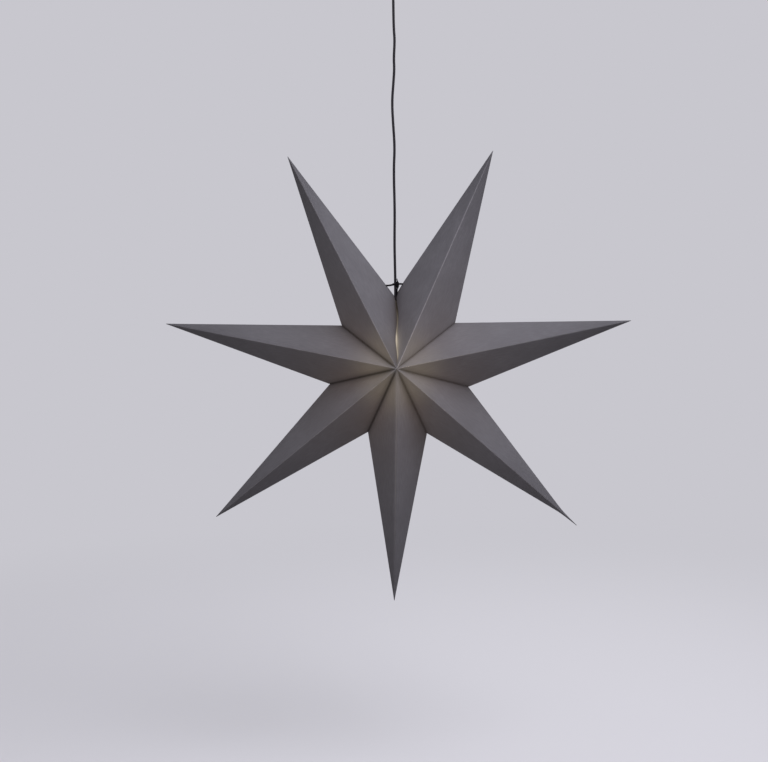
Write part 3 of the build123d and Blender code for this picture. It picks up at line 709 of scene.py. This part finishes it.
NODE_MATERIALS = {
    "ceiling_plate": zinc, "ceiling_hook": zinc, "cord_hanger": black_plastic,
    "hanger_clamp_bar": black_plastic, "hanger_clamp_screws": steel,
    "terminal_block": nylon, "terminal_block_screws": brass,
    "ceiling_cup": cup_plastic, "cup_collar": black_plastic, "cup_grub_screw": steel,
    "lampholder_skirt": holder_plastic, "lampholder_dome": holder_plastic, "cord_grip": black_plastic,
    "cord_grip_screw": steel, "lampholder_core": ceramic, "screw_socket": brass, "centre_contact": brass,
    "wire_screws": brass, "bulb_globe": opal, "bulb_body": white_body, "bulb_screw_cap": nickel,
    "bulb_insulator": black_glass, "bulb_contact": steel,
}
for name, m in NODE_MATERIALS.items():
    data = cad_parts[name].data
    data.materials.clear()
    data.materials.append(m)
    data.polygons.foreach_set("use_smooth", [True] * len(data.polygons))
    data.set_sharp_from_angle(angle=radians(32))

# The paper star
for arm in ARM_NAMES:
    for side in (LEFT, RIGHT):
        for face in (FRONT, BACK):
            panel_piece(Panel(arm, side, face), (outside, inside, cut))


# Flex and tie
def nurbs(name, route):
    curve = bpy.data.curves.new(name, "CURVE")
    curve.dimensions = "3D"
    spline = curve.splines.new("NURBS")
    spline.points.add(len(route) - 1)
    for point, place in zip(spline.points, route):
        point.co = (*place, 1)
    spline.order_u = 3
    spline.use_endpoint_u = True
    spline.resolution_u = 12
    return curve


def build_flex():
    curve = nurbs("flex", CORD_ROUTE)
    curve.bevel_depth = CORD_D / 2
    curve.bevel_resolution = 6
    curve.use_fill_caps = True
    curve.materials.append(rubber)
    flex = add_object("flex", curve)
    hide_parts("cord")
    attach(flex, "ceiling_fitting")


build_flex()


def curve_points(route):
    """The points of the smooth curve through a route."""
    curve = nurbs("route", route)
    holder = bpy.data.objects.new("route", curve)
    mesh = bpy.data.meshes.new_from_object(holder)
    points = [v.co.copy() for v in mesh.vertices]
    bpy.data.objects.remove(holder)
    bpy.data.meshes.remove(mesh)
    bpy.data.curves.remove(curve)
    return points


def resample(points, step):
    """Points at even steps along a line."""
    out, left = [points[0]], step
    for a, b in zip(points, points[1:]):
        length = (b - a).length
        while length > left > 0:
            a = a + (b - a) * (left / length)
            out.append(a)
            length = (b - a).length
            left = step
        left -= length
    out.append(points[-1])
    return out


def add_tube(verts, faces, points, radius, sides):
    """Closed tube along points; radius is a function of the share of its length."""
    start = len(verts)
    normal = Vector((0, 1, 0))
    for k, point in enumerate(points):
        ahead = points[min(k + 1, len(points) - 1)] - points[max(k - 1, 0)]
        ahead.normalize()
        normal = (normal - ahead * normal.dot(ahead)).normalized()
        other = ahead.cross(normal)
        r = radius(k / (len(points) - 1))
        for s in range(sides):
            a = 2 * pi * s / sides
            verts.append(point + normal * (r * cos(a)) + other * (r * sin(a)))
    n = len(points)
    for k in range(n - 1):
        for s in range(sides):
            a, b = start + k * sides + s, start + k * sides + (s + 1) % sides
            faces.append((a, b, b + sides, a + sides))
    faces.append(tuple(start + s for s in range(sides))[::-1])
    faces.append(tuple(start + (n - 1) * sides + s for s in range(sides)))


PLIES, PLY_SIDES, PLY_STEP = 3, 6, 0.0006
PLY_RADIUS = 0.26  # as a share of the string's width
PLY_OFF = 0.92  # a ply's distance from the string's middle, as a share of its radius


def twisted(verts, faces, route, width, pitch):
    """A laid string: plies wound round a smooth route; width is a number or a function of the share of it."""
    line = resample(curve_points(route), PLY_STEP)
    normal = Vector((0, 1, 0))
    strands = [[] for _ in range(PLIES)]

    def ply_radius(share):
        return (width(share) if callable(width) else width) * PLY_RADIUS

    for k, point in enumerate(line):
        ahead = (line[min(k + 1, len(line) - 1)] - line[max(k - 1, 0)]).normalized()
        normal = (normal - ahead * normal.dot(ahead)).normalized()
        other = ahead.cross(normal)
        off = ply_radius(k / (len(line) - 1)) * PLY_OFF
        for i in range(PLIES):
            a = 2 * pi * (k * PLY_STEP / pitch + i / PLIES)
            strands[i].append(point + normal * (off * cos(a)) + other * (off * sin(a)))
    for strand in strands:
        add_tube(verts, faces, strand, ply_radius, PLY_SIDES)


def winding(steps, turns, place):
    """Route of a winding; place gives the point for an angle and the share of the way."""
    return [place(2 * pi * turns * k / steps, k / steps) for k in range(steps + 1)]


TIE_UP = 0.177  # above the star's centre
TIE_STOP, STOP_RADIUS = 0.0277, 0.0017  # half the distance between the stops, and the radius of their winding
RING_RADIUS, RING_DROP = 0.0050, 0.0036  # the two turns round the flex
TIE_WIDTH, TIE_LAY = 0.0042, 0.0080  # over the plies, and the length of one twist
KNOT_TOP, KNOT_HEIGHT, KNOT_TURNS = 0.0074, 0.0155, 4.5  # its winding goes down from the top
KNOT_THIN, KNOT_SWELL = 0.0006, 0.0013  # its winding's radius at the ends, and how much more in the middle


def build_tie():
    """Two stops inside the end arms, the strands, two turns round the flex, the knot and its tails."""
    z = STAR.z + TIE_UP
    kx, ky, kz = 0.0049, -0.0036, z - 0.0012
    verts, faces = [], []

    def string(route, width=TIE_WIDTH):
        twisted(verts, faces, route, width, TIE_LAY)

    string([(-TIE_STOP, 0.0, z - 0.003), (-0.016, -0.001, z - 0.0030), (-0.009, -0.0034, z - 0.0022),
            (-0.003, -0.0048, z - 0.0008), (0.002, -0.0049, z), (kx, ky, z)])
    string([(TIE_STOP, 0.0, z - 0.0002), (0.016, -0.0008, z), (0.010, -0.0022, z + 0.0003), (kx, ky, z)])

    def ring(a, u):
        return RING_RADIUS * sin(a), -RING_RADIUS * cos(a), z + RING_DROP * (0.5 - u)

    def knot(a, u):
        wide = KNOT_THIN + KNOT_SWELL * sin(pi * u)
        return kx + wide * cos(a), ky + wide * sin(a), kz + KNOT_TOP - KNOT_HEIGHT * u
    string(winding(26, 2, ring), TIE_WIDTH * 0.7)
    string(winding(59, KNOT_TURNS, knot), lambda u: TIE_WIDTH * (0.6 + 0.4 * sin(pi * u)))
    string([(kx, ky, kz + 0.004), (kx - 0.0006, ky - 0.0004, kz + 0.0080),
            (kx - 0.0010, ky - 0.0004, kz + 0.0105), (kx - 0.0013, ky, kz + 0.0125)],
           lambda u: TIE_WIDTH * (0.65 - 0.25 * u))
    string([(kx, ky, kz - 0.003), (kx - 0.0008, ky - 0.0006, kz - 0.0080),
            (kx - 0.0014, ky - 0.0004, kz - 0.0150), (kx - 0.0022, ky - 0.0002, kz - 0.0250)],
           lambda u: TIE_WIDTH * (0.8 - 0.15 * u))
    for side in (LEFT, RIGHT):
        string(winding(21, 2, lambda a, u: (side * (TIE_STOP + 0.0004 * sin(a)), STOP_RADIUS * cos(a),
                                            z + STOP_RADIUS * sin(a) * (1 - 0.3 * u))))
    mesh = bpy.data.meshes.new("tie_cord")
    mesh.from_pydata([v[:] for v in verts], [], faces)
    mesh.polygons.foreach_set("use_smooth", [True] * len(mesh.polygons))
    mesh.materials.append(cotton)
    piece = add_object("tie_cord", mesh)
    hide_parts("tie_string")
    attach(piece, "lampholder")
    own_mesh(piece)


build_tie()


# The left end panel's own edge, in mm, and its light at distances from the peak
FLAP_START, FLAP_END, FLAP_ROWS, FLAP_COLUMNS = 14, 143, 60, 9
FLAP_REACH, FLAP_TUCK = 9.0, 1.6
FLAP_DIP, FLAP_SLOPE = 0.55, 1.2  # its depth behind the left panel, and how much more at its far side
FLAP_COLOUR = (0.68, 0.59, 0.465)  # its light at its brightest
FLAP_R = [16, 22, 30, 36, 42, 48, 56, 66, 72, 78, 92, 104, 117, 126]
FLAP_LIGHT = [0.2, 0.46, 0.58, 0.62, 0.58, 0.78, 1.0, 0.95, 0.62, 0.36, 0.23, 0.17, 0.09, 0.02]


def build_flap():
    """The left end panel's own edge, tucked behind the right one, which the lamp shines through."""
    left = Panel(-LAST_ARM, LEFT, FRONT)
    verts, lit = [], []
    length = np.linalg.norm(left.flat[2] - left.flat[0])
    for level in (HALF_PAPER, -HALF_PAPER):
        for j in range(FLAP_ROWS):
            r = FLAP_START + (FLAP_END - FLAP_START) * j / (FLAP_ROWS - 1)
            s = r / MOUTH
            start = (left.seam_x * s - seam_edge(r, left.arm)) / left.perp_x + FLAP_TUCK
            # narrower towards both ends, and less light at its far side
            width = (FLAP_REACH + FLAP_TUCK) * min(1.0, (r - 4) / 20, (MOUTH - r) / 10)
            shift = left.shifts[0] * (1 - s) + left.shifts[2] * s
            for i in range(FLAP_COLUMNS):
                u = i / (FLAP_COLUMNS - 1)
                q = left.flat[0] + left.valley_u * (s * length) + left.valley_perp * (start - width * u)
                height = level - FLAP_DIP - FLAP_SLOPE * u
                on_panel = left.x_dir * q[0] + left.y_dir * q[1] + left.out * height
                verts.append(left.p + on_panel * MM + shift)
                lit.append(float(np.interp(r, FLAP_R, FLAP_LIGHT)) * (0.35 + 0.65 * exp(-(u / 0.5) ** 2)))
    faces = [face for face, _ in sheet_faces(FLAP_ROWS, FLAP_COLUMNS)]
    mesh = bpy.data.meshes.new("seam_flap")
    mesh.from_pydata([v[:] for v in verts], [], faces)
    if mesh.polygons[0].normal.dot(left.out) < 0:
        mesh.flip_normals()
    mesh.attributes.new("lit", "FLOAT", "POINT").data.foreach_set("value", lit)
    # the flap's paper is given darker than the panels': painted shade where it lies behind the right panel
    m, tree, shader = plain_paper("seam_flap_paper", linear(58, 55, 55), linear(68, 65, 65))
    scale = node(tree, "ShaderNodeVectorMath", operation="SCALE")
    scale.inputs[0].default_value = FLAP_COLOUR
    tree.links.new(attribute(tree, "lit"), scale.inputs["Scale"])
    add_glow(tree, shader, scale.outputs[0])
    mesh.materials.append(m)
    mesh.polygons.foreach_set("use_smooth", [True] * len(mesh.polygons))
    mesh.set_sharp_from_angle(angle=radians(40))
    piece = add_object("seam_flap", mesh)
    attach(piece, left.name())
    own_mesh(piece)


build_flap()


# Floor, light and camera
BACKGROUND = linear(200, 199, 206)
SKY_LOW, SKY_HIGH, SKY_STRENGTH = (0.6, 0.57, 0.57), (1.0, 1.0, 1.05), 0.4
SKY_FROM, SKY_TO = -0.7, 0.9  # heights between which the sky goes from the low colour to the high one
FLOOR_Z, FLOOR_RADIUS, FLOOR_SIDES = -1.8, 14.0, 48
FLOOR_LIT, FLOOR_SEEN = linear(143, 141, 141), linear(214, 213, 219)
FADE_START, FADE_END = 1.4, 3.6  # where the floor turns into the background
LIGHTS = (  # name, place, power, size, colour; all aim at the star
    ("key", (1.35, -1.65, 1.5), 69, 2.2, (1.0, 0.99, 1.03)),
    ("fill", (-0.7, -2.5, -0.7), 11, 2.4, (1.0, 0.98, 0.96)),
    ("rear", (0.8, 2.4, 1.2), 50, 2.4, (1.0, 1.0, 1.0)),
)
LIGHT_AIM = (0, 0, -0.9)


def seen_rays(tree):
    """1 for the rays that see the background: from the camera, or by way of gloss or glass."""
    path = node(tree, "ShaderNodeLightPath").outputs
    mirrored = math_node(tree, "MAXIMUM", path["Is Glossy Ray"], path["Is Transmission Ray"])
    return math_node(tree, "MAXIMUM", path["Is Camera Ray"], mirrored)


def build_floor():
    """A pale floor that turns into the background further out."""
    mesh = bpy.data.meshes.new("floor")
    turns = [2 * pi * k / FLOOR_SIDES for k in range(FLOOR_SIDES)]
    ring = [(FLOOR_RADIUS * cos(a), FLOOR_RADIUS * sin(a), FLOOR_Z) for a in turns]
    mesh.from_pydata(ring, [], [tuple(range(FLOOR_SIDES))])
    floor = add_object("floor", mesh)
    m, tree, shader = new_material("floor")
    shader.inputs["Roughness"].default_value = 0.9
    flat = node(tree, "ShaderNodeEmission", Strength=1.0)
    flat.inputs["Color"].default_value = (*BACKGROUND, 1)
    away = node(tree, "ShaderNodeVectorMath", operation="LENGTH")
    tree.links.new(object_coords(tree), away.inputs[0])
    far = ramp(tree, away.outputs["Value"], FADE_START, FADE_END)
    ray = seen_rays(tree)
    tree.links.new(mix_colour(tree, ray, FLOOR_LIT, FLOOR_SEEN), shader.inputs["Base Color"])
    mix = node(tree, "ShaderNodeMixShader")
    tree.links.new(math_node(tree, "MULTIPLY", far, ray), mix.inputs[0])
    tree.links.new(shader.outputs[0], mix.inputs[1])
    tree.links.new(flat.outputs[0], mix.inputs[2])
    tree.links.new(mix.outputs[0], tree.nodes["Material Output"].inputs[0])
    mesh.materials.append(m)


def build_world():
    """Soft light from the world, and the plain background where the camera sees it."""
    world = bpy.data.worlds.new("studio")
    bpy.context.scene.world = world
    world.use_nodes = True
    tree = world.node_tree
    tree.nodes.clear()
    light = node(tree, "ShaderNodeBackground", Strength=SKY_STRENGTH)
    up = node(tree, "ShaderNodeSeparateXYZ")
    tree.links.new(node(tree, "ShaderNodeTexCoord").outputs["Generated"], up.inputs[0])
    height = ramp(tree, up.outputs["Z"], SKY_FROM, SKY_TO)
    tree.links.new(mix_colour(tree, height, SKY_LOW, SKY_HIGH), light.inputs["Color"])
    seen = node(tree, "ShaderNodeBackground", Strength=1.0)
    seen.inputs["Color"].default_value = (*BACKGROUND, 1)
    mix = node(tree, "ShaderNodeMixShader")
    tree.links.new(seen_rays(tree), mix.inputs[0])
    tree.links.new(light.outputs[0], mix.inputs[1])
    tree.links.new(seen.outputs[0], mix.inputs[2])
    tree.links.new(mix.outputs[0], node(tree, "ShaderNodeOutputWorld").inputs[0])


def add_light(name, place, power, size, colour):
    data = bpy.data.lights.new(name, "AREA")
    data.energy, data.size, data.color = power, size, colour
    light = add_object(name, data)
    light.location = place
    light.rotation_mode = "QUATERNION"
    light.rotation_quaternion = (Vector(LIGHT_AIM) - Vector(place)).to_track_quat("-Z", "Y")


def build_camera():
    """The photograph's camera; the focal length and the shifts are in its pixels, 768 across."""
    yaw, pitch, roll, distance = radians(1.88), radians(3.13), radians(-0.41), 2.5
    width, focal, shift_right, shift_down = 768, 1199.0, 11.9, -11.8
    back = Vector((sin(yaw) * cos(pitch), -cos(yaw) * cos(pitch), sin(pitch)))
    right = (-back).cross(Vector((0, 0, 1))).normalized()
    up = right.cross(-back)
    r = right * cos(roll) + up * sin(roll)
    u = up * cos(roll) - right * sin(roll)
    data = bpy.data.cameras.new("camera")
    data.sensor_width = 36
    data.lens = focal / width * data.sensor_width
    data.shift_x, data.shift_y = -shift_right / width, shift_down / width
    camera = add_object("camera", data)
    place = STAR + back * distance
    camera.matrix_world = Matrix(((r.x, u.x, back.x, place.x), (r.y, u.y, back.y, place.y),
                                  (r.z, u.z, back.z, place.z), (0, 0, 0, 1)))
    bpy.context.scene.camera = camera


build_floor()
build_world()
for light in LIGHTS:
    add_light(*light)
build_camera()
bpy.context.scene.view_settings.view_transform = "Standard"
